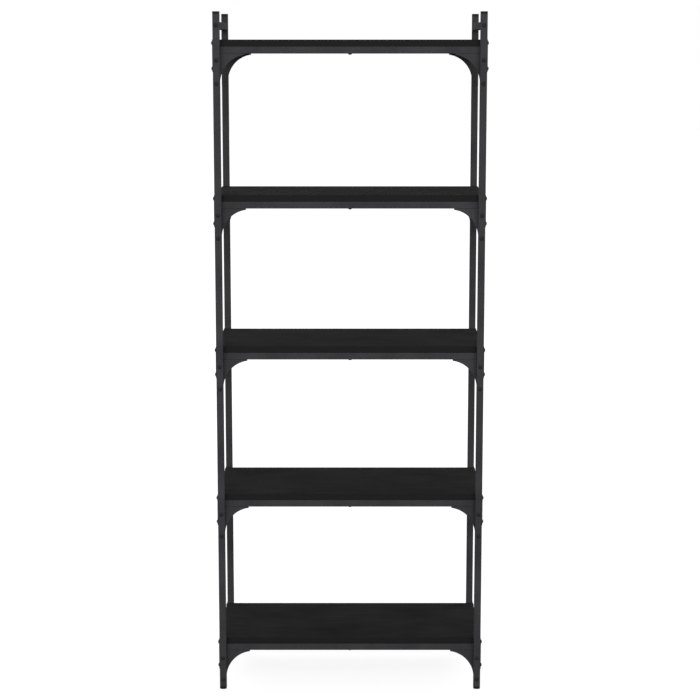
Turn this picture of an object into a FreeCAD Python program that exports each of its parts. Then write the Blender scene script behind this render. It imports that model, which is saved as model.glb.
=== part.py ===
import FreeCAD, Part
import math
import os

# A tall open bookcase: boards on steel rails between four square-tube posts.
# Millimetres. X runs across the width, Y from front to rear, Z up from the floor.
# The origin is on the floor, under the middle of the bookcase.

# Overall sizes
overall_height = 1535.0     # floor to the top of the post caps
overall_width = 600.0       # over the side plates, without their bolt heads
overall_depth = 300.0       # over the posts, without their bolt heads
level_count = 5             # boards, one above the other
post_rise = 60.4            # post caps above the top board
leg_clearance = 8.7         # lowest gusset legs above the lower ends of the post tubes

# Square tube of the posts, rails and top bars, over its coat
tube_side = 15.2
tube_wall = 1.2
tube_corner = 0.7           # flat that breaks each outer corner, measured along the side

# Boards
board_thickness = 15.2
board_gap = 0.5             # room between a board's edges and the steel around it

# Gussets: sheet brackets under the rail ends, with a leg behind each post
gusset_sheet = 2.5
gusset_radius = 62.0        # hollow arc between the rail and the leg
gusset_crown = 2.3          # where the whole arc would come nearest to the rail
gusset_tip = 0.5            # the tip is cut off square where it is this much deeper than the crown
gusset_leg_width = 14.7
gusset_leg_tail = 8.7       # straight stretch of the leg below the arc
gusset_bolt_drop = 14.3     # upper bolt below the rail
gusset_bolt_edge = 8.0      # lower bolt above the end of the leg

# Side plates: arched sheets that tie a front post to a rear post
plate_sheet = 1.0
plate_end_height = 70.0     # at the posts, down from the top of the board
plate_tab = 20.0            # width of the straight lower end at each post
plate_bolt_edge = 7.5       # bolts from the upper and lower ends of the plate

# Top bars: tubes between the front and rear posts, above the top board
top_bar_drop = 30.0         # middle of the bar below the top of the caps
insert_length = 12.0        # threaded block inside each end of a bar

# Plastic plugs in the tube ends
cap_rim = 5.8               # height of the cap outside the tube
cap_bevel = 0.4
foot_rim = 7.7              # height of the foot outside the tube
foot_crown = 22.0           # radius of the shallow dome under the foot, made in two flats
foot_flat = 3.0             # from the middle of the dome to the edge of its flat end
plug_depth = 10.0           # stem inside the tube
plug_clearance = 0.15       # between a stem or a block and the tube around it

# Bolts and screws, and the holes that they need
bolt_diameter = 5.0
bolt_head_overhang = 2.25   # head beyond the shank, all round
bolt_head_height = 2.75
bolt_tail = 1.5             # gusset bolt beyond the back of the gusset
bolt_spacing = 0.5          # between the tip of a side bolt and a bolt that crosses the post
screw_diameter = 4.0
screw_head_overhang = 2.3
screw_head_height = 2.75
screw_cover = 5.0           # board left above the tip of a screw
hole_clearance = 0.5        # on the diameter, where a bolt passes freely
thread_clearance = 0.1      # on the diameter, where it is screwed in
head_sides = 6
shank_sides = 5             # shanks and their holes have few sides, because there are hundreds

# Places that follow from the sizes above
frame_x = overall_width / 2 - plate_sheet      # outer faces of the posts, and the ends of the rails
frame_y = overall_depth / 2                    # front and rear faces of the posts
inner_y = frame_y - tube_side                  # inner faces of the posts, outer faces of the rails
post_x = frame_x - tube_side / 2
post_y = frame_y - tube_side / 2
rail_y = inner_y - tube_side / 2
shelf_height = board_thickness + tube_side     # from a board's top to the underside of its rails
leg_length = gusset_crown + gusset_radius + gusset_leg_tail
lowest_top = foot_rim + leg_clearance + leg_length + shelf_height
highest_top = overall_height - post_rise
level_pitch = (highest_top - lowest_top) / (level_count - 1)
board_tops = [lowest_top + level_pitch * level for level in range(level_count)]
gusset_bolt_drops = [gusset_bolt_drop, leg_length - gusset_bolt_edge]
plate_bolt_drops = [plate_bolt_edge, plate_end_height - plate_bolt_edge]
top_bar_z = overall_height - top_bar_drop
side_bolt_reach = tube_side / 2 - bolt_diameter / 2 - bolt_spacing

SIDES = {"left": -1, "right": 1}
FACES = {"front": -1, "rear": 1}
CORNERS = [(face, side) for face in FACES for side in SIDES]
UP = FreeCAD.Vector(0, 0, 1)


def save(shape, node):
    """Write one piece, or one group of like pieces, under its name."""
    shape.exportStep(f"parts/{node}.step")


def place(shape, start, direction):
    """Stand a shape that was made along +Z at a point, along another direction."""
    shape.Placement = FreeCAD.Placement(start, FreeCAD.Rotation(UP, direction))
    return shape


def prism(sides, diameter, length, start, direction):
    """A straight prism whose flats lie on a round of the given diameter."""
    turn = 2 * math.pi / sides
    corner = diameter / 2 / math.cos(turn / 2)
    points = [FreeCAD.Vector(corner * math.cos(turn * i), corner * math.sin(turn * i)) for i in range(sides)]
    outline = Part.Face(Part.makePolygon(points + points[:1]))
    return place(outline.extrude(UP * length), start, direction)


def shank(diameter, length, start, direction):
    """The shank of a bolt or screw, or the hole that it goes through."""
    return prism(shank_sides, diameter, length, start, direction)


def headed(diameter, overhang, head_height, length, seat, inward):
    """A bolt or screw whose head stands on the seat and whose shank goes inward."""
    head = prism(head_sides, diameter + 2 * overhang, head_height, seat - inward * head_height, inward)
    return head.fuse(shank(diameter, length, seat, inward))


def square_bar(length):
    """A bar with the outline of the tube, its long corners broken, up from the origin."""
    half = tube_side / 2
    flat = half - tube_corner
    one_side = [FreeCAD.Vector(half, -flat, 0), FreeCAD.Vector(half, flat, 0)]
    points = []
    for quarter in range(4):
        turn = FreeCAD.Rotation(UP, 90 * quarter)
        points += [turn.multVec(point) for point in one_side]
    return Part.Face(Part.makePolygon(points + points[:1])).extrude(UP * length)


def square_tube(length, start, direction):
    """A length of the square tube, open at both ends."""
    hollow = tube_side - 2 * tube_wall
    bore = Part.makeBox(hollow, hollow, length, FreeCAD.Vector(-hollow / 2, -hollow / 2, 0))
    return place(square_bar(length).cut(bore), start, direction)


def plug_rim(height, steps, start):
    """The part of a plug outside the tube. Steps of height and inset give all four of its sides."""
    half = tube_side / 2
    right = [FreeCAD.Vector(half - inset, -half, z) for z, inset in steps]
    left = [FreeCAD.Vector(inset - half, -half, z) for z, inset in reversed(steps)]
    elevation = Part.Face(Part.makePolygon(right + left + right[:1])).extrude(FreeCAD.Vector(0, tube_side, 0))
    turned = elevation.rotated(FreeCAD.Vector(), UP, 90)
    return place(square_bar(height).common(elevation).common(turned), start, UP)


def stem(length, start):
    """The square stem of a plug, or a block, that fits inside the tube."""
    width = tube_side - 2 * tube_wall - 2 * plug_clearance
    return Part.makeBox(width, width, length, start - FreeCAD.Vector(width / 2, width / 2, 0))


def rail_bottom(level):
    """Height of the underside of the rails that carry one board."""
    return board_tops[level] - shelf_height


def gusset_bolt_seats(face, side):
    """Seats of the bolts through one post into the gussets behind it."""
    heights = [rail_bottom(level) - drop for level in range(level_count) for drop in gusset_bolt_drops]
    return [FreeCAD.Vector(SIDES[side] * post_x, FACES[face] * frame_y, z) for z in heights]


def top_bar_bolt_seat(face, side):
    """Seat of the bolt through one post into the end of the top bar."""
    return FreeCAD.Vector(SIDES[side] * post_x, FACES[face] * frame_y, top_bar_z)


def side_bolt_seats(face, side, level):
    """Seats on one side plate of the bolts into the outer wall of one post."""
    heights = [board_tops[level] - drop for drop in plate_bolt_drops]
    return [FreeCAD.Vector(SIDES[side] * overall_width / 2, FACES[face] * post_y, z) for z in heights]


def board_screw_seat(face, level):
    """Seat of the screw under the middle of one rail."""
    return FreeCAD.Vector(0, FACES[face] * rail_y, rail_bottom(level))


def post(face, side):
    """A post tube, drilled for the bolts that cross it and for those in its outer wall."""
    length = overall_height - cap_rim - foot_rim
    tube = square_tube(length, FreeCAD.Vector(SIDES[side] * post_x, FACES[face] * post_y, foot_rim), UP)
    back = FreeCAD.Vector(0, -FACES[face], 0)
    crossing = gusset_bolt_seats(face, side) + [top_bar_bolt_seat(face, side)]
    holes = [shank(bolt_diameter + hole_clearance, tube_side, seat, back) for seat in crossing]
    across = FreeCAD.Vector(-SIDES[side], 0, 0)
    depth = plate_sheet + tube_wall
    for level in range(level_count):
        seats = side_bolt_seats(face, side, level)
        holes += [shank(bolt_diameter + thread_clearance, depth, seat, across) for seat in seats]
    return tube.cut(holes)


def rail(face, level):
    """A rail that carries one long edge of a board, behind the posts."""
    start = FreeCAD.Vector(-frame_x, FACES[face] * rail_y, rail_bottom(level) + tube_side / 2)
    tube = square_tube(2 * frame_x, start, FreeCAD.Vector(1, 0, 0))
    return tube.cut(shank(screw_diameter + hole_clearance, tube_side, board_screw_seat(face, level), UP))


def board(level):
    """A board on its two rails, with blind holes for the screws from below."""
    width = 2 * (frame_x - board_gap)
    depth = 2 * (inner_y - board_gap)
    bottom = board_tops[level] - board_thickness
    panel = Part.makeBox(width, depth, board_thickness, FreeCAD.Vector(-width / 2, -depth / 2, bottom))
    bite = board_thickness - screw_cover
    under = UP * tube_side
    starts = [board_screw_seat(face, level) + under for face in FACES]
    return panel.cut([shank(screw_diameter + thread_clearance, bite, start, UP) for start in starts])


def gusset(face, side, level):
    """A bracket under one rail end: a hollow arc from a blunt tip down to a leg behind the post."""
    centre_inset = gusset_leg_width + gusset_radius
    centre_drop = gusset_crown + gusset_radius
    tip_angle = math.asin(1 - gusset_tip / gusset_radius)
    tip_inset = centre_inset - gusset_radius * math.cos(tip_angle)

    def point(inset, drop):
        x = SIDES[side] * (frame_x - inset)
        return FreeCAD.Vector(x, FACES[face] * inner_y, rail_bottom(level) - drop)

    def arc_point(angle):
        inset = centre_inset - gusset_radius * math.cos(angle)
        return point(inset, centre_drop - gusset_radius * math.sin(angle))

    arc = Part.Arc(arc_point(tip_angle), arc_point(tip_angle / 2), arc_point(0))
    leg_end = [point(gusset_leg_width, leg_length), point(0, leg_length)]
    rail_side = [point(0, 0), point(tip_inset, 0)]
    straight = Part.makePolygon([arc_point(0)] + leg_end + rail_side + [arc_point(tip_angle)])
    back = FreeCAD.Vector(0, -FACES[face], 0)
    bracket = Part.Face(Part.Wire([arc.toShape()] + straight.Edges)).extrude(back * gusset_sheet)
    taps = [point(frame_x - post_x, drop) for drop in gusset_bolt_drops]
    return bracket.cut([shank(bolt_diameter + thread_clearance, gusset_sheet, tap, back) for tap in taps])


def side_plate(side, level):
    """An arched sheet over the outer faces of two posts, one board edge and two rail ends."""
    arch_radius = plate_end_height - shelf_height
    tab_y = frame_y - plate_tab
    crown_y = tab_y - arch_radius
    halfway = arch_radius * math.sqrt(0.5)

    def point(y, drop):
        return FreeCAD.Vector(SIDES[side] * frame_x, y, board_tops[level] - drop)

    def arch(end):
        foot = point(end * tab_y, plate_end_height)
        bend = point(end * (crown_y + halfway), plate_end_height - halfway)
        return Part.Arc(foot, bend, point(end * crown_y, shelf_height)).toShape()

    def post_edge(end):
        low = [point(end * y, plate_end_height) for y in (tab_y, frame_y)]
        return Part.makePolygon(low + [point(end * frame_y, 0)]).Edges

    top = Part.makeLine(point(-frame_y, 0), point(frame_y, 0))
    crown = Part.makeLine(point(-crown_y, shelf_height), point(crown_y, shelf_height))
    edges = [top, crown, arch(-1), arch(1)] + post_edge(-1) + post_edge(1)
    across = FreeCAD.Vector(-SIDES[side], 0, 0)
    sheet = Part.Face(Part.Wire(Part.sortEdges(edges)[0])).extrude(across * -plate_sheet)
    seats = [seat for face in FACES for seat in side_bolt_seats(face, side, level)]
    return sheet.cut([shank(bolt_diameter + hole_clearance, plate_sheet, seat, across) for seat in seats])


def top_bar(side):
    """A tube from the front post to the rear post, above the top board."""
    start = FreeCAD.Vector(SIDES[side] * post_x, -inner_y, top_bar_z)
    return square_tube(2 * inner_y, start, FreeCAD.Vector(0, 1, 0))


def top_bar_insert(face, side):
    """The threaded block inside one end of a top bar."""
    back = FreeCAD.Vector(0, -FACES[face], 0)
    mouth = top_bar_bolt_seat(face, side) + back * tube_side
    block = place(stem(insert_length, FreeCAD.Vector(0, 0, 0)), mouth, back)
    return block.cut(shank(bolt_diameter + thread_clearance, insert_length, mouth, back))


def cap(face, side):
    """A plastic plug that closes the top of a post."""
    seat = FreeCAD.Vector(SIDES[side] * post_x, FACES[face] * post_y, overall_height - cap_rim)
    rim = plug_rim(cap_rim, [(0, 0), (cap_rim - cap_bevel, 0), (cap_rim, cap_bevel)], seat)
    return rim.fuse(stem(plug_depth, seat - UP * plug_depth))


def foot(face, side):
    """A plastic plug that the post stands on, domed below."""
    floor = FreeCAD.Vector(SIDES[side] * post_x, FACES[face] * post_y, 0)
    half = tube_side / 2
    reaches = [foot_flat, (foot_flat + half) / 2, half]
    depths = [math.sqrt(foot_crown ** 2 - reach ** 2) for reach in reaches]
    steps = [(depths[0] - depth, half - reach) for depth, reach in zip(depths, reaches)]
    rim = plug_rim(foot_rim, steps + [(foot_rim, 0)], floor)
    return rim.fuse(stem(plug_depth, floor + UP * foot_rim))


def bolt(length, seat, inward):
    """One of the bolts that hold the steel together, of any length."""
    return headed(bolt_diameter, bolt_head_overhang, bolt_head_height, length, seat, inward)


def gusset_bolts():
    """Bolts through the posts into the tapped gusset legs."""
    length = tube_side + gusset_sheet + bolt_tail
    solids = []
    for face, side in CORNERS:
        back = FreeCAD.Vector(0, -FACES[face], 0)
        solids += [bolt(length, seat, back) for seat in gusset_bolt_seats(face, side)]
    return Part.makeCompound(solids)


def top_bar_bolts():
    """Bolts through the posts into the blocks in the top bars."""
    length = tube_side + insert_length
    solids = []
    for face, side in CORNERS:
        back = FreeCAD.Vector(0, -FACES[face], 0)
        solids.append(bolt(length, top_bar_bolt_seat(face, side), back))
    return Part.makeCompound(solids)


def side_plate_bolts():
    """Short bolts through the side plates into the outer walls of the posts."""
    length = plate_sheet + side_bolt_reach
    solids = []
    for face, side in CORNERS:
        across = FreeCAD.Vector(-SIDES[side], 0, 0)
        for level in range(level_count):
            solids += [bolt(length, seat, across) for seat in side_bolt_seats(face, side, level)]
    return Part.makeCompound(solids)


def board_screws():
    """Screws up through the rails into the boards."""
    length = tube_side + board_thickness - screw_cover
    seats = [board_screw_seat(face, level) for face in FACES for level in range(level_count)]
    solids = []
    for seat in seats:
        solids.append(headed(screw_diameter, screw_head_overhang, screw_head_height, length, seat, UP))
    return Part.makeCompound(solids)


os.makedirs("parts", exist_ok=True)
for face, side in CORNERS:
    save(post(face, side), f"post_{face}_{side}")
    save(cap(face, side), f"cap_{face}_{side}")
    save(foot(face, side), f"foot_{face}_{side}")
for level in range(level_count):
    number = level + 1
    save(board(level), f"shelf_board_{number}")
    for face in FACES:
        save(rail(face, level), f"{face}_rail_{number}")
        pair = [gusset(face, side, level) for side in SIDES]
        save(Part.makeCompound(pair), f"{face}_gussets_{number}")
    for side in SIDES:
        save(side_plate(side, level), f"side_plate_{side}_{number}")
for side in SIDES:
    save(top_bar(side), f"top_bar_{side}")
save(Part.makeCompound([top_bar_insert(face, side) for face, side in CORNERS]), "top_bar_inserts")
save(gusset_bolts(), "gusset_bolts")
save(top_bar_bolts(), "top_bar_bolts")
save(side_plate_bolts(), "side_plate_bolts")
save(board_screws(), "board_screws")
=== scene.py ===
import bmesh
import bpy
import math
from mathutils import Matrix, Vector


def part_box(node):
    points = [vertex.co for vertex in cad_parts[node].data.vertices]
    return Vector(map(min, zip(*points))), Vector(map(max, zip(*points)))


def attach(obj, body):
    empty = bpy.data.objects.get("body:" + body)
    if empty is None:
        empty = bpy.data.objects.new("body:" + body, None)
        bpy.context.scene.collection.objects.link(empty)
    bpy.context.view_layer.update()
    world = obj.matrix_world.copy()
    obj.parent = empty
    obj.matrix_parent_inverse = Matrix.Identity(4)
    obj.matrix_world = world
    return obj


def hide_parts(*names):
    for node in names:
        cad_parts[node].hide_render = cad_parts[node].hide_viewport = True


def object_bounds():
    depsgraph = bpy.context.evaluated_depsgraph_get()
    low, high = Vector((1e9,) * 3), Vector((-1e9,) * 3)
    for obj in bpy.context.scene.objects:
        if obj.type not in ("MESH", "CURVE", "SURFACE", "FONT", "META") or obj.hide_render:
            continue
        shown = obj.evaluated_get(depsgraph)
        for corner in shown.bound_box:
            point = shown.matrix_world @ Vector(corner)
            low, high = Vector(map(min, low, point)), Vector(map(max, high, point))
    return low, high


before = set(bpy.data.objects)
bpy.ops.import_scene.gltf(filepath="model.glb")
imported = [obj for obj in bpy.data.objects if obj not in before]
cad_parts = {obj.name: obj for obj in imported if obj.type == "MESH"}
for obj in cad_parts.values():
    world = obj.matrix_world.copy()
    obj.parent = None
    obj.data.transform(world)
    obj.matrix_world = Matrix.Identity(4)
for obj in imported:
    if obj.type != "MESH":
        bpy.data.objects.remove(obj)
cad_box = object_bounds()


# Posts
# Four lengths of thin-walled square steel tube, with corners rounded by the rolling mill.
# They are cut square, drilled, blasted and powder coated, and the rest of the frame is bolted to them.
MM = 0.001
TUBE_WALL = 1.2 * MM
TUBE_CORNER = 1.2 * MM
TUBE_BORE_CORNER = 0.3 * MM
CORNER_STEPS = 5
JOIN_DISTANCE = 0.001 * MM
SMOOTH_ANGLE = math.radians(35)


def linear(hex_colour):
    """A colour written as sRGB hex, as the linear values that a shader takes."""
    parts = [int(hex_colour[i:i + 2], 16) / 255 for i in (1, 3, 5)]
    return [c / 12.92 if c <= 0.04045 else ((c + 0.055) / 1.055) ** 2.4 for c in parts] + [1.0]


def add_node(tree, kind, inputs=None, **settings):
    """Add a node. An input takes a plain value, or a link where it is given another node's socket."""
    node = tree.nodes.new(kind)
    for name, value in settings.items():
        setattr(node, name, value)
    for name, value in (inputs or {}).items():
        if isinstance(value, bpy.types.NodeSocket):
            tree.links.new(value, node.inputs[name])
        else:
            node.inputs[name].default_value = value
    return node


def new_material(name):
    """A material with its shader, and the place of each point in the object's own metres."""
    material = bpy.data.materials.new(name)
    material.use_nodes = True
    tree = material.node_tree
    place = add_node(tree, "ShaderNodeTexCoord").outputs["Object"]
    return material, tree, tree.nodes["Principled BSDF"], place


def powder_coat():
    """Polyester powder, baked on steel: a matt skin, faintly pebbled, with slow clouds in tone and gloss.
    Real pebbles are about 0.5 mm wide. They are drawn five times as wide, so that they show."""
    pebble_mm = 2.5
    cloud_mm = 60
    material, tree, shader, place = new_material("powder_coated_steel")
    pebble = add_node(tree, "ShaderNodeTexNoise", {"Vector": place, "Scale": 1000 / pebble_mm, "Detail": 2.0})
    cloud = add_node(tree, "ShaderNodeTexNoise", {"Vector": place, "Scale": 1000 / cloud_mm, "Detail": 3.0})
    both = add_node(tree, "ShaderNodeMix",
                    {"Factor": 0.5, "A": pebble.outputs["Fac"], "B": cloud.outputs["Fac"]})
    tone = add_node(tree, "ShaderNodeValToRGB", {"Fac": both.outputs[0]})
    tone.color_ramp.elements[0].position = 0.35
    tone.color_ramp.elements[0].color = linear("#38383a")
    tone.color_ramp.elements[1].position = 0.65
    tone.color_ramp.elements[1].color = linear("#48484a")
    gloss = add_node(tree, "ShaderNodeMapRange",
                     {"Value": cloud.outputs["Fac"], "To Min": 0.82, "To Max": 0.92})
    bump = add_node(tree, "ShaderNodeBump",
                    {"Height": pebble.outputs["Fac"], "Strength": 0.25, "Distance": 0.06 * MM})
    tree.links.new(tone.outputs["Color"], shader.inputs["Base Color"])
    tree.links.new(gloss.outputs["Result"], shader.inputs["Roughness"])
    tree.links.new(bump.outputs["Normal"], shader.inputs["Normal"])
    shader.inputs["Specular IOR Level"].default_value = 0.04
    return material


def new_tree(name, inputs):
    """A node tree with one geometry output and named inputs, and the sockets that hold their values."""
    tree = bpy.data.node_groups.new(name, "GeometryNodeTree")
    tree.interface.new_socket("Geometry", in_out="OUTPUT", socket_type="NodeSocketGeometry")
    for label, kind in inputs.items():
        tree.interface.new_socket(label, in_out="INPUT", socket_type="NodeSocket" + kind)
    return tree, add_node(tree, "NodeGroupInput").outputs


def end_tree(tree, geometry, material):
    """Smooth the rounds, keep the corners sharp, make instances real, give the material and end the tree."""
    smooth = add_node(tree, "GeometryNodeSetShadeSmooth", {"Geometry": geometry}, domain="FACE")
    angle = add_node(tree, "GeometryNodeInputMeshEdgeAngle").outputs["Unsigned Angle"]
    corner = add_node(tree, "FunctionNodeCompare", {"A": angle, "B": SMOOTH_ANGLE}, operation="GREATER_THAN")
    sharp = add_node(tree, "GeometryNodeSetShadeSmooth",
                     {"Geometry": smooth.outputs[0], "Selection": corner.outputs[0], "Shade Smooth": False},
                     domain="EDGE")
    real = add_node(tree, "GeometryNodeRealizeInstances", {"Geometry": sharp.outputs[0]})
    painted = add_node(tree, "GeometryNodeSetMaterial", {"Geometry": real.outputs[0], "Material": material})
    add_node(tree, "NodeGroupOutput", {"Geometry": painted.outputs[0]})


def run_tree(tree, name, values, mesh=None):
    """Run a node tree with values for its named inputs, and keep what it makes as a plain mesh object."""
    piece = bpy.data.objects.new(name, mesh or bpy.data.meshes.new(name))
    bpy.context.scene.collection.objects.link(piece)
    modifier = piece.modifiers.new(tree.name, "NODES")
    modifier.node_group = tree
    for socket in tree.interface.items_tree:
        if socket.name in values:
            modifier[socket.identifier] = values[socket.name]
    graph = bpy.context.evaluated_depsgraph_get()
    made = bpy.data.meshes.new_from_object(piece.evaluated_get(graph))
    piece.modifiers.remove(modifier)
    piece.data = made
    return piece


def stand_for(piece, node):
    """Put a finished piece on the frame in place of a CAD node."""
    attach(piece, "root")
    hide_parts(node)


def tube_tree():
    """A square tube with rounded corners: two rounded squares, filled between and pulled to the length."""
    tree, value = new_tree("square_tube", {
        "Side": "Float", "Wall": "Float", "Corner": "Float", "Bore Corner": "Float", "Length": "Float",
        "Start": "Vector", "Turn": "Vector", "Material": "Material"})
    twice = add_node(tree, "ShaderNodeMath", {0: value["Wall"], 1: 2.0}, operation="MULTIPLY").outputs[0]
    bore = add_node(tree, "ShaderNodeMath", {0: value["Side"], 1: twice}, operation="SUBTRACT").outputs[0]
    rings = add_node(tree, "GeometryNodeJoinGeometry")
    for width, radius in ((value["Side"], value["Corner"]), (bore, value["Bore Corner"])):
        square = add_node(tree, "GeometryNodeCurvePrimitiveQuadrilateral", {"Width": width, "Height": width})
        ring = add_node(tree, "GeometryNodeFilletCurve",
                        {"Curve": square.outputs[0], "Count": CORNER_STEPS, "Radius": radius}, mode="POLY")
        tree.links.new(ring.outputs[0], rings.inputs[0])
    end = add_node(tree, "GeometryNodeFillCurve", {"Curve": rings.outputs[0]}, mode="NGONS")
    along = add_node(tree, "ShaderNodeCombineXYZ", {"Z": value["Length"]}).outputs[0]
    walls = add_node(tree, "GeometryNodeExtrudeMesh",
                     {"Mesh": end.outputs[0], "Offset": along, "Individual": False}, mode="FACES")
    start = add_node(tree, "GeometryNodeFlipFaces", {"Mesh": end.outputs[0]})
    shell = add_node(tree, "GeometryNodeJoinGeometry")
    for part in (walls, start):
        tree.links.new(part.outputs[0], shell.inputs[0])
    closed = add_node(tree, "GeometryNodeMergeByDistance",
                      {"Geometry": shell.outputs[0], "Distance": JOIN_DISTANCE})
    placed = add_node(tree, "GeometryNodeTransform", {
        "Geometry": closed.outputs[0], "Translation": value["Start"], "Rotation": value["Turn"]})
    end_tree(tree, placed.outputs[0], value["Material"])
    return tree


def tube(node, axis):
    """A length of the tube along one axis, where the CAD node is."""
    low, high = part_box(node)
    middle = (low + high) / 2
    middle[axis] = low[axis]
    turns = [(0, math.pi / 2, 0), (-math.pi / 2, 0, 0), (0, 0, 0)]
    piece = run_tree(square_tube, f"{node}_tube", {
        "Side": high[(axis + 1) % 3] - low[(axis + 1) % 3], "Wall": TUBE_WALL, "Corner": TUBE_CORNER,
        "Bore Corner": TUBE_BORE_CORNER, "Length": high[axis] - low[axis],
        "Start": middle, "Turn": turns[axis], "Material": coated_steel})
    piece.modifiers.new("flat_faces", "WEIGHTED_NORMAL").keep_sharp = True
    stand_for(piece, node)


coated_steel = powder_coat()
square_tube = tube_tree()
CORNERS = ["front_left", "front_right", "rear_left", "rear_right"]
LEVELS = [1, 2, 3, 4, 5]
for corner in CORNERS:
    tube(f"post_{corner}", axis=2)


# Feet and caps
# Push-in plugs of black polyethylene, injection moulded with a faint spark-eroded grain.
# A square stem grips the inside of the tube. The foot stands on a low dome, and the cap is flat.
FOOT_CROWN = 22 * MM
RIM_EASE = 0.4 * MM
STEM_DEPTH = 10 * MM
STEM_CLEARANCE = 0.15 * MM
SIDE_STEPS = 8
EASE_STEPS = 4
DOME_RINGS = (0.7, 0.4, 0.1)


def moulded_plastic():
    """Polyethylene from a spark-eroded mould: soft sheen over a fine, even grain.
    The real grain is about 0.1 mm. It is drawn at 0.8 mm, so that close views show it."""
    grain_mm = 0.8
    material, tree, shader, place = new_material("moulded_polyethylene")
    grain = add_node(tree, "ShaderNodeTexNoise", {"Vector": place, "Scale": 1000 / grain_mm, "Detail": 2.0})
    tone = add_node(tree, "ShaderNodeValToRGB", {"Fac": grain.outputs["Fac"]})
    tone.color_ramp.elements[0].color = linear("#0f0f0f")
    tone.color_ramp.elements[1].color = linear("#161616")
    bump = add_node(tree, "ShaderNodeBump",
                    {"Height": grain.outputs["Fac"], "Strength": 0.3, "Distance": 0.05 * MM})
    tree.links.new(tone.outputs["Color"], shader.inputs["Base Color"])
    tree.links.new(bump.outputs["Normal"], shader.inputs["Normal"])
    shader.inputs["Roughness"].default_value = 0.55
    shader.inputs["Specular IOR Level"].default_value = 0.12
    return material


def new_piece(name, shape, *materials):
    """An object at the origin from a finished bmesh, with its materials in order."""
    mesh = bpy.data.meshes.new(name)
    shape.to_mesh(mesh)
    shape.free()
    for material in materials:
        mesh.materials.append(material)
    piece = bpy.data.objects.new(name, mesh)
    bpy.context.scene.collection.objects.link(piece)
    return piece


def add_box(shape, low, high):
    """Add a closed box between two corners to a bmesh."""
    for vert in bmesh.ops.create_cube(shape, size=1.0)["verts"]:
        vert.co = [high[i] if vert.co[i] > 0 else low[i] for i in range(3)]


def rounded_square(half, corner):
    """Points round a square with rounded corners, about the origin, with some along each side."""
    flat = half - corner
    bends = [math.pi / 2 * step / CORNER_STEPS for step in range(CORNER_STEPS + 1)]
    quarter = [(flat + corner * math.cos(a), flat + corner * math.sin(a)) for a in bends]
    quarter += [(flat * (1 - 2 * step / SIDE_STEPS), half) for step in range(1, SIDE_STEPS)]
    points = []
    for turn in range(4):
        points += quarter
        quarter = [(-y, x) for x, y in quarter]
    return points


def plug(node, seat_z, end_z, crown_radius):
    """A plug: rings of the tube's outline from seat to end, eased and bulged there, and a square stem."""
    low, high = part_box(node)
    middle = (low + high) / 2
    half = (high.x - low.x) / 2
    inward = math.copysign(1, seat_z - end_z)
    rings = []
    for step in range(EASE_STEPS + 1):
        angle = math.pi / 2 * step / EASE_STEPS
        share = 1 - RIM_EASE / half * (1 - math.cos(angle))
        rings.append((share, end_z + inward * RIM_EASE * (1 - math.sin(angle))))
    rings += [(share, end_z) for share in DOME_RINGS]
    outline = rounded_square(half, TUBE_CORNER)
    shape = bmesh.new()
    inner = [shape.verts.new((middle.x + x, middle.y + y, seat_z)) for x, y in outline]
    shape.faces.new(inner)
    for share, z in rings:
        ring = []
        for x, y in outline:
            bulge = share ** 2 * (x * x + y * y) / (2 * crown_radius)
            ring.append(shape.verts.new((middle.x + share * x, middle.y + share * y, z + inward * bulge)))
        for i in range(len(ring)):
            shape.faces.new((inner[i - 1], inner[i], ring[i], ring[i - 1]))
        inner = ring
    shape.faces.new(inner)
    bmesh.ops.recalc_face_normals(shape, faces=shape.faces)
    inset = Vector((1, 1, 0)) * (TUBE_WALL + STEM_CLEARANCE)
    stem_low, stem_high = low + inset, high - inset
    stem_low.z, stem_high.z = sorted((seat_z, seat_z + inward * STEM_DEPTH))
    add_box(shape, stem_low, stem_high)
    for face in shape.faces:
        face.smooth = True
    piece = new_piece(f"{node}_plug", shape, black_plastic)
    piece.data.set_sharp_from_angle(angle=SMOOTH_ANGLE)
    piece.modifiers.new("flat_faces", "WEIGHTED_NORMAL").keep_sharp = True
    stand_for(piece, node)


black_plastic = moulded_plastic()
for corner in CORNERS:
    tube_low, tube_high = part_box(f"post_{corner}")
    plug(f"foot_{corner}", tube_low.z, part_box(f"foot_{corner}")[0].z, FOOT_CROWN)
    plug(f"cap_{corner}", tube_high.z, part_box(f"cap_{corner}")[1].z, math.inf)


# Rails
# The same square tube, lying across just inside the front posts and the rear posts at each level.
# The boards rest on them, and a screw comes up through the middle of each.
for level in LEVELS:
    tube(f"front_rail_{level}", axis=0)
    tube(f"rear_rail_{level}", axis=0)


# Gussets
# Laser-cut brackets of 2.5 mm sheet, welded under the rail ends and powder coated with them.
# A hollow quarter arc runs from a blunt tip to a leg, which is bolted to the inner side of the post.
GUSSET_RADIUS = 62.0 * MM
GUSSET_CROWN = 2.3 * MM
GUSSET_TIP = 0.5 * MM
GUSSET_LEG = 14.7 * MM
ARC_STEPS = 28
SHEET_EASE = 0.3 * MM
BEVEL_STEPS = 2


def sheet(name, outlines, material):
    """Flat sheet cut to outlines, each with the vector that pulls it to its thickness, edges eased."""
    shape = bmesh.new()
    for points, thickness in outlines:
        face = shape.faces.new([shape.verts.new(p) for p in points])
        pulled = bmesh.ops.extrude_face_region(shape, geom=[face], use_keep_orig=True)["geom"]
        moved = [part for part in pulled if isinstance(part, bmesh.types.BMVert)]
        bmesh.ops.translate(shape, vec=thickness, verts=moved)
    bmesh.ops.recalc_face_normals(shape, faces=shape.faces)
    for face in shape.faces:
        face.smooth = True
    piece = new_piece(name, shape, material)
    piece.data.set_sharp_from_angle(angle=SMOOTH_ANGLE)
    eased = piece.modifiers.new("eased_edges", "BEVEL")
    eased.width = SHEET_EASE
    eased.segments = BEVEL_STEPS
    eased.limit_method = "ANGLE"
    eased.angle_limit = SMOOTH_ANGLE
    eased.harden_normals = True
    return piece


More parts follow.
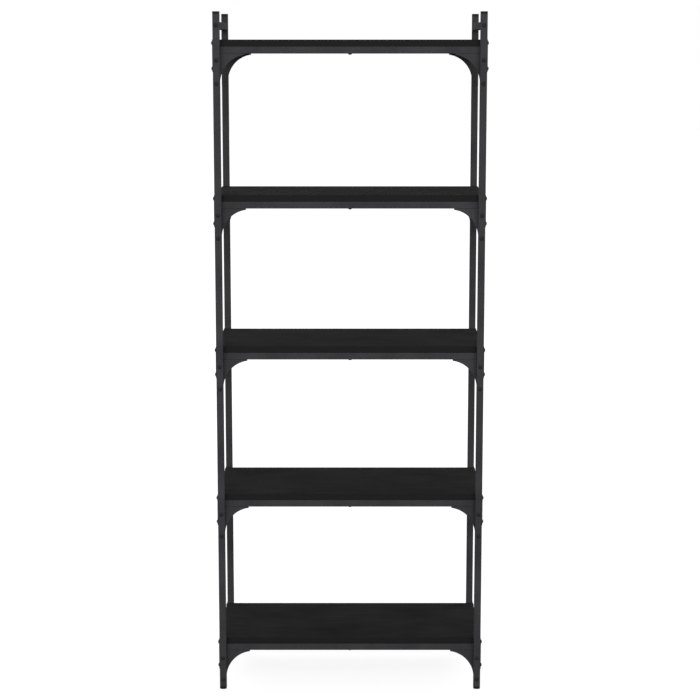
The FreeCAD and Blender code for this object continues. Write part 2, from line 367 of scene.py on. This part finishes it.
def gusset_outline(low, high, side, outer_y):
    """Points round one gusset, from the tip along the arc to the leg and back along the rail."""
    def point(inset, drop):
        return Vector((side * (high.x - inset), outer_y, high.z - drop))

    tip_angle = math.asin(1 - GUSSET_TIP / GUSSET_RADIUS)
    arc = []
    for step in range(ARC_STEPS + 1):
        angle = tip_angle * (1 - step / ARC_STEPS)
        inset = GUSSET_LEG + GUSSET_RADIUS * (1 - math.cos(angle))
        arc.append(point(inset, GUSSET_CROWN + GUSSET_RADIUS * (1 - math.sin(angle))))
    leg = [point(GUSSET_LEG, high.z - low.z), point(0, high.z - low.z)]
    tip_inset = GUSSET_LEG + GUSSET_RADIUS * (1 - math.cos(tip_angle))
    return arc + leg + [point(0, 0), point(tip_inset, 0)]


for level in LEVELS:
    for face in ("front", "rear"):
        node = f"{face}_gussets_{level}"
        low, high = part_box(node)
        thickness = Vector((0, high.y - low.y, 0))
        pair = [(gusset_outline(low, high, side, low.y), thickness) for side in (-1, 1)]
        stand_for(sheet(f"{node}_sheet", pair, coated_steel), node)


# Side plates
# Arched plates of 1 mm sheet, laser cut and powder coated, bolted over the outer faces of the posts.
# Each ties a front post to a rear post and covers the end of a board and of its two rails.
PLATE_TAB = 20 * MM


def plate_outline(low, high, arch_radius):
    """Points round one side plate: along its top, down the tabs at the posts and over the arch."""
    def point(y, drop):
        return Vector((low.x, y, high.z - drop))

    depth = high.z - low.z
    crown_y = high.y - PLATE_TAB - arch_radius
    arch = []
    for step in range(ARC_STEPS + 1):
        angle = math.pi / 2 * step / ARC_STEPS
        arch.append((crown_y + arch_radius * math.cos(angle), depth - arch_radius * math.sin(angle)))
    half = [(high.y, 0), (high.y, depth)] + arch
    return [point(y, drop) for y, drop in half] + [point(-y, drop) for y, drop in reversed(half)]


for level in LEVELS:
    for side in ("left", "right"):
        node = f"side_plate_{side}_{level}"
        low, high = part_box(node)
        arch_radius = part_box(f"front_rail_{level}")[0].z - low.z
        outline = plate_outline(low, high, arch_radius)
        piece = sheet(f"{node}_sheet", [(outline, Vector((high.x - low.x, 0, 0)))], coated_steel)
        stand_for(piece, node)


# Shelf boards
# Chipboard of 15 mm, faced on both sides with black melamine paper and closed by glued plastic edging.
# The boards lie on the rails with a little room at the posts, and are held by the screws from below.
EDGING = 0.8 * MM
EDGING_SEAM = 0.05 * MM
BOARD_EASE = 0.3 * MM


def melamine():
    """Resin-soaked black paper pressed on the board with a wood-pore plate: matt, with long fine pores.
    Real pores are about 0.3 mm wide. They are drawn eight times as wide, so that they show."""
    pore_width_mm = 2.4
    pore_length_mm = 110
    cloud_mm = 120
    material, tree, shader, place = new_material("black_melamine")
    stretch = (1000 / pore_length_mm, 1000 / pore_width_mm, 1000 / pore_width_mm)
    along = add_node(tree, "ShaderNodeMapping", {"Vector": place, "Scale": stretch})
    pore = add_node(tree, "ShaderNodeTexNoise", {"Vector": along.outputs[0], "Scale": 1.0, "Detail": 3.0})
    cloud = add_node(tree, "ShaderNodeTexNoise", {"Vector": place, "Scale": 1000 / cloud_mm, "Detail": 2.0})
    both = add_node(tree, "ShaderNodeMix",
                    {"Factor": 0.4, "A": pore.outputs["Fac"], "B": cloud.outputs["Fac"]})
    tone = add_node(tree, "ShaderNodeValToRGB", {"Fac": both.outputs[0]})
    tone.color_ramp.elements[0].position = 0.35
    tone.color_ramp.elements[0].color = linear("#202020")
    tone.color_ramp.elements[1].position = 0.65
    tone.color_ramp.elements[1].color = linear("#2e2e2e")
    gloss = add_node(tree, "ShaderNodeMapRange",
                     {"Value": pore.outputs["Fac"], "To Min": 0.85, "To Max": 0.7})
    bump = add_node(tree, "ShaderNodeBump",
                    {"Height": pore.outputs["Fac"], "Strength": 0.2, "Distance": 0.05 * MM})
    tree.links.new(tone.outputs["Color"], shader.inputs["Base Color"])
    tree.links.new(gloss.outputs["Result"], shader.inputs["Roughness"])
    tree.links.new(bump.outputs["Normal"], shader.inputs["Normal"])
    shader.inputs["Specular IOR Level"].default_value = 0.003
    return material


def plastic_edging():
    """Extruded ABS strip, printed and lacquered to match the board: plainer, smoother and a shade darker."""
    streak_mm = 25
    streak_height_mm = 1.0
    material, tree, shader, place = new_material("abs_edging")
    stretch = (1000 / streak_mm, 1000 / streak_mm, 1000 / streak_height_mm)
    along = add_node(tree, "ShaderNodeMapping", {"Vector": place, "Scale": stretch})
    streak = add_node(tree, "ShaderNodeTexNoise", {"Vector": along.outputs[0], "Scale": 1.0, "Detail": 2.0})
    tone = add_node(tree, "ShaderNodeValToRGB", {"Fac": streak.outputs["Fac"]})
    tone.color_ramp.elements[0].color = linear("#1e1e1e")
    tone.color_ramp.elements[1].color = linear("#242424")
    gloss = add_node(tree, "ShaderNodeMapRange",
                     {"Value": streak.outputs["Fac"], "To Min": 0.6, "To Max": 0.7})
    tree.links.new(tone.outputs["Color"], shader.inputs["Base Color"])
    tree.links.new(gloss.outputs["Result"], shader.inputs["Roughness"])
    shader.inputs["Specular IOR Level"].default_value = 0.04
    return material


board_faces = melamine()
board_edges = plastic_edging()
for level in LEVELS:
    node = f"shelf_board_{level}"
    low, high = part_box(node)
    rim = Vector((EDGING, EDGING, 0))
    shape = bmesh.new()
    add_box(shape, low + rim, high - rim)
    panel_faces = len(shape.faces)
    add_box(shape, low, (high.x, low.y + EDGING - EDGING_SEAM, high.z))
    add_box(shape, (low.x, high.y - EDGING + EDGING_SEAM, low.z), high)
    add_box(shape, low + Vector((0, EDGING, 0)), (low.x + EDGING - EDGING_SEAM, high.y - EDGING, high.z))
    add_box(shape, (high.x - EDGING + EDGING_SEAM, low.y + EDGING, low.z), high - Vector((0, EDGING, 0)))
    shape.faces.ensure_lookup_table()
    for face in shape.faces[panel_faces:]:
        face.material_index = 1
    piece = new_piece(f"{node}_panel", shape, board_faces, board_edges)
    eased = piece.modifiers.new("eased_edges", "BEVEL")
    eased.width = BOARD_EASE
    eased.segments = BEVEL_STEPS
    eased.harden_normals = True
    stand_for(piece, node)


# Top bars
# Two more lengths of the tube, from the front post to the rear post above the top board.
# A zinc-plated steel block, threaded for the bolt, is fixed inside each end.
def zinc_plate():
    """Bright zinc on plain steel: a pale grey metal with soft blotches in its tone and gloss."""
    blotch_mm = 4
    material, tree, shader, place = new_material("zinc_plated_steel")
    blotch = add_node(tree, "ShaderNodeTexNoise", {"Vector": place, "Scale": 1000 / blotch_mm, "Detail": 3.0})
    tone = add_node(tree, "ShaderNodeValToRGB", {"Fac": blotch.outputs["Fac"]})
    tone.color_ramp.elements[0].color = linear("#9a9c9e")
    tone.color_ramp.elements[1].color = linear("#b9bbbd")
    gloss = add_node(tree, "ShaderNodeMapRange",
                     {"Value": blotch.outputs["Fac"], "To Min": 0.25, "To Max": 0.45})
    tree.links.new(tone.outputs["Color"], shader.inputs["Base Color"])
    tree.links.new(gloss.outputs["Result"], shader.inputs["Roughness"])
    shader.inputs["Metallic"].default_value = 1.0
    return material


for side in ("left", "right"):
    tube(f"top_bar_{side}", axis=1)
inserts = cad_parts["top_bar_inserts"]
inserts.data.materials.clear()
inserts.data.materials.append(zinc_plate())


# Bolts and screws
# Button-head socket bolts of 5 mm, black zinc plated, through the posts and side plates, and wood screws
# with the same heads up through the rails. Only the heads and the tips behind the gussets show.
HEAD_HEIGHT = 2.75 * MM
HEAD_RIM = 0.5 * MM
BOLT_HEAD = 9.5 * MM
BOLT_SHANK = 5.0 * MM
BOLT_SOCKET = 3.0 * MM
BOLT_PITCH = 0.8 * MM
SCREW_HEAD = 8.6 * MM
SCREW_SHANK = 4.0 * MM
SCREW_SOCKET = 2.5 * MM
SCREW_PITCH = 1.6 * MM
SOCKET_DEPTH = 1.6 * MM
THREAD_DEPTH = 0.4 * MM
HEAD_SIDES = 20
BALL_RINGS = 40
KEY_SIDES = 6
SHANK_SIDES = 10


def black_zinc():
    """Black passivated zinc: a dark metal skin, glossier than the coat, with a faint mottle."""
    mottle_mm = 3
    material, tree, shader, place = new_material("black_zinc_plate")
    mottle = add_node(tree, "ShaderNodeTexNoise", {"Vector": place, "Scale": 1000 / mottle_mm, "Detail": 3.0})
    tone = add_node(tree, "ShaderNodeValToRGB", {"Fac": mottle.outputs["Fac"]})
    tone.color_ramp.elements[0].color = linear("#1b1b1e")
    tone.color_ramp.elements[1].color = linear("#242427")
    gloss = add_node(tree, "ShaderNodeMapRange",
                     {"Value": mottle.outputs["Fac"], "To Min": 0.38, "To Max": 0.5})
    tree.links.new(tone.outputs["Color"], shader.inputs["Base Color"])
    tree.links.new(gloss.outputs["Result"], shader.inputs["Roughness"])
    shader.inputs["Metallic"].default_value = 0.2
    shader.inputs["Specular IOR Level"].default_value = 0.15
    return material


def bolt_tree():
    """A bolt on each point of a mesh, head outwards along the point's own direction.
    The head is a slice of a ball on a short rim, less a six-sided socket. The thread is a stack of ridges."""
    tree, value = new_tree("button_head_bolt", {
        "Seats": "Geometry", "Ball Radius": "Float", "Ball Centre": "Vector", "Head Radius": "Float",
        "Head Top": "Vector", "Rim Length": "Float", "Key Radius": "Float", "Key Length": "Float",
        "Shank Radius": "Float", "Shank End": "Vector", "Ridges": "Int", "Valley Share": "Float",
        "Material": "Material"})
    ball = add_node(tree, "GeometryNodeMeshUVSphere",
                    {"Segments": HEAD_SIDES, "Rings": BALL_RINGS, "Radius": value["Ball Radius"]})
    dome = add_node(tree, "GeometryNodeTransform",
                    {"Geometry": ball.outputs[0], "Translation": value["Ball Centre"]})
    rod = add_node(tree, "GeometryNodeMeshCylinder",
                   {"Vertices": HEAD_SIDES, "Radius": value["Head Radius"], "Depth": value["Rim Length"]})
    rim = add_node(tree, "GeometryNodeTransform",
                   {"Geometry": rod.outputs[0], "Translation": value["Head Top"]})
    head = add_node(tree, "GeometryNodeMeshBoolean", operation="INTERSECT")
    for part in (dome, rim):
        tree.links.new(part.outputs[0], head.inputs["Mesh 2"])
    key = add_node(tree, "GeometryNodeMeshCylinder",
                   {"Vertices": KEY_SIDES, "Radius": value["Key Radius"], "Depth": value["Key Length"]})
    sunk = add_node(tree, "GeometryNodeTransform",
                    {"Geometry": key.outputs[0], "Translation": value["Head Top"]})
    socketed = add_node(tree, "GeometryNodeMeshBoolean",
                        {"Mesh 1": head.outputs[0], "Mesh 2": sunk.outputs[0]}, operation="DIFFERENCE")

    line = add_node(tree, "GeometryNodeCurvePrimitiveLine", {"End": value["Shank End"]})
    core = add_node(tree, "GeometryNodeResampleCurve",
                    {"Curve": line.outputs[0], "Count": value["Ridges"]}, mode="COUNT")
    index = add_node(tree, "GeometryNodeInputIndex").outputs[0]
    valley = add_node(tree, "ShaderNodeMath", {0: index, 1: 2.0}, operation="MODULO").outputs[0]
    swell = add_node(tree, "ShaderNodeMapRange",
                     {"Value": valley, "To Min": 1.0, "To Max": value["Valley Share"]})
    thread = add_node(tree, "GeometryNodeSetCurveRadius",
                      {"Curve": core.outputs[0], "Radius": swell.outputs["Result"]})
    ring = add_node(tree, "GeometryNodeCurvePrimitiveCircle",
                    {"Resolution": SHANK_SIDES, "Radius": value["Shank Radius"]})
    shank = add_node(tree, "GeometryNodeCurveToMesh",
                     {"Curve": thread.outputs[0], "Profile Curve": ring.outputs[0], "Fill Caps": True})
    bolt = add_node(tree, "GeometryNodeJoinGeometry")
    for part in (socketed, shank):
        tree.links.new(part.outputs[0], bolt.inputs[0])
    outward = add_node(tree, "GeometryNodeInputNamedAttribute", {"Name": "outward"}, data_type="FLOAT_VECTOR")
    turn = add_node(tree, "FunctionNodeAlignRotationToVector", {"Vector": outward.outputs[0]}, axis="Z")
    placed = add_node(tree, "GeometryNodeInstanceOnPoints",
                      {"Points": value["Seats"], "Instance": bolt.outputs[0], "Rotation": turn.outputs[0]})
    real = add_node(tree, "GeometryNodeRealizeInstances", {"Geometry": placed.outputs[0]})
    end_tree(tree, real.outputs[0], value["Material"])
    return tree


def solid_boxes(node):
    """Lowest and highest corners of each of the separate solids in a CAD node."""
    shape = bmesh.new()
    shape.from_mesh(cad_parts[node].data)
    bmesh.ops.remove_doubles(shape, verts=shape.verts, dist=JOIN_DISTANCE)
    boxes, seen = [], set()
    for start in shape.verts:
        if start in seen:
            continue
        island, queue = [], [start]
        seen.add(start)
        while queue:
            vert = queue.pop()
            island.append(vert.co.copy())
            for edge in vert.link_edges:
                other = edge.other_vert(vert)
                if other not in seen:
                    seen.add(other)
                    queue.append(other)
        boxes.append([Vector(pick(c[i] for c in island) for i in range(3)) for pick in (min, max)])
    shape.free()
    return boxes


def fasteners(node, axis, heads_down, head, shank, socket, pitch):
    """The bolts or screws of one CAD node, each on the seat under its head.
    The heads point away from the middle of the bookcase along an axis, or all down."""
    boxes = solid_boxes(node)
    seats, directions = [], []
    for low, high in boxes:
        middle = (low + high) / 2
        sign = -1 if heads_down else math.copysign(1, middle[axis])
        outer = high[axis] if sign > 0 else low[axis]
        middle[axis] = outer - sign * HEAD_HEIGHT
        seats.append(middle)
        directions.append([sign if i == axis else 0.0 for i in range(3)])
    points = bpy.data.meshes.new(f"{node}_seats")
    points.from_pydata(seats, [], [])
    outward = points.attributes.new("outward", "FLOAT_VECTOR", "POINT")
    outward.data.foreach_set("vector", [c for d in directions for c in d])

    low, high = boxes[-1]
    length = high[axis] - low[axis] - HEAD_HEIGHT
    dome = HEAD_HEIGHT - HEAD_RIM
    ball_radius = ((head / 2) ** 2 + dome ** 2) / (2 * dome)
    piece = run_tree(button_head, f"{node}_set", {
        "Ball Radius": ball_radius, "Ball Centre": (0, 0, HEAD_HEIGHT - ball_radius),
        "Head Radius": head / 2, "Head Top": (0, 0, HEAD_HEIGHT), "Rim Length": 2 * HEAD_HEIGHT,
        "Key Radius": socket / 2 / math.cos(math.pi / KEY_SIDES), "Key Length": 2 * SOCKET_DEPTH,
        "Shank Radius": shank / 2, "Shank End": (0, 0, -length),
        "Ridges": round(2 * length / pitch), "Valley Share": 1 - THREAD_DEPTH / (shank / 2),
        "Material": black_steel}, points)
    stand_for(piece, node)


black_steel = black_zinc()
button_head = bolt_tree()
for node, axis in (("gusset_bolts", 1), ("top_bar_bolts", 1), ("side_plate_bolts", 0)):
    fasteners(node, axis, False, BOLT_HEAD, BOLT_SHANK, BOLT_SOCKET, BOLT_PITCH)
fasteners("board_screws", 2, True, SCREW_HEAD, SCREW_SHANK, SCREW_SOCKET, SCREW_PITCH)


# Studio
# A white floor that meets a white surround, two large soft lamps in front and two behind, and the eye
# point that the photograph was taken from, about level with the top board.
FLOOR_SIZE = 60.0
SURROUND_LIGHT = 0.38
FLOOR_GLOW = 0.88
SHADOW_REACH = 1.6
WHITE_FROM = 4.0
EYE = Vector((0, -4.217, 1.448))
DOWN_TILT = math.radians(9.174)
FOCAL_PIXELS = 1846
IMAGE_PIXELS = 700
SENSOR_MM = 36
LAMP_SIZE = 3.0
LAMPS = {
    "front_left": ((-1.8, -5.0, 2.8), 95),
    "front_right": ((1.8, -5.0, 2.8), 95),
    "rear_left": ((-3.4, 3.4, 4.2), 90),
    "rear_right": ((3.4, 3.4, 4.2), 90),
}


def white_when_seen(tree):
    """1 on rays from the camera, mirrors and glass, and 0 on the rays that light the object."""
    ray = add_node(tree, "ShaderNodeLightPath").outputs
    seen = ray["Is Camera Ray"]
    for kind in ("Is Glossy Ray", "Is Transmission Ray"):
        seen = add_node(tree, "ShaderNodeMath", {0: seen, 1: ray[kind]}, operation="MAXIMUM").outputs[0]
    return seen


# The floor glows white where it is seen, less so near the bookcase, where its shadow shows.
# Its own colour is grey, so that it throws little light up on the undersides.
shape = bmesh.new()
bmesh.ops.create_grid(shape, x_segments=1, y_segments=1, size=FLOOR_SIZE / 2)
paper = bpy.data.materials.new("white_studio_paper")
paper.use_nodes = True
tree = paper.node_tree
place = add_node(tree, "ShaderNodeTexCoord").outputs["Object"]
away = add_node(tree, "ShaderNodeVectorMath", {"Vector": place}, operation="LENGTH").outputs["Value"]
lift = add_node(tree, "ShaderNodeMapRange", {
    "Value": away, "From Min": SHADOW_REACH, "From Max": WHITE_FROM, "To Min": FLOOR_GLOW, "To Max": 1.0})
seen = white_when_seen(tree)
glow = add_node(tree, "ShaderNodeMath", {0: seen, 1: lift.outputs["Result"]}, operation="MULTIPLY")
shader = tree.nodes["Principled BSDF"]
shader.inputs["Base Color"].default_value = linear("#888888")
shader.inputs["Roughness"].default_value = 1.0
shader.inputs["Specular IOR Level"].default_value = 0.0
shader.inputs["Emission Color"].default_value = linear("#ffffff")
tree.links.new(glow.outputs[0], shader.inputs["Emission Strength"])
new_piece("studio_floor", shape, paper)

surround = bpy.data.worlds.new("studio_surround")
surround.use_nodes = True
bpy.context.scene.world = surround
tree = surround.node_tree
seen = white_when_seen(tree)
strength = add_node(tree, "ShaderNodeMapRange", {"Value": seen, "To Min": SURROUND_LIGHT, "To Max": 1.0})
tree.nodes["Background"].inputs["Color"].default_value = linear("#ffffff")
tree.links.new(strength.outputs["Result"], tree.nodes["Background"].inputs["Strength"])

aim_point = Vector((0, 0, (cad_box[0].z + cad_box[1].z) / 2))
for name, (stand, power) in LAMPS.items():
    lamp = bpy.data.lights.new(f"{name}_lamp", "AREA")
    lamp.energy = power
    lamp.size = LAMP_SIZE
    holder = bpy.data.objects.new(f"{name}_lamp", lamp)
    bpy.context.scene.collection.objects.link(holder)
    holder.location = stand
    holder.rotation_euler = (aim_point - holder.location).to_track_quat("-Z", "Y").to_euler()

camera = bpy.data.objects.new("camera", bpy.data.cameras.new("camera"))
bpy.context.scene.collection.objects.link(camera)
camera.location = EYE
camera.rotation_euler = (math.pi / 2 - DOWN_TILT, 0, 0)
camera.data.sensor_width = SENSOR_MM
camera.data.lens = SENSOR_MM * FOCAL_PIXELS / IMAGE_PIXELS
bpy.context.scene.camera = camera
bpy.context.scene.view_settings.view_transform = "Standard"
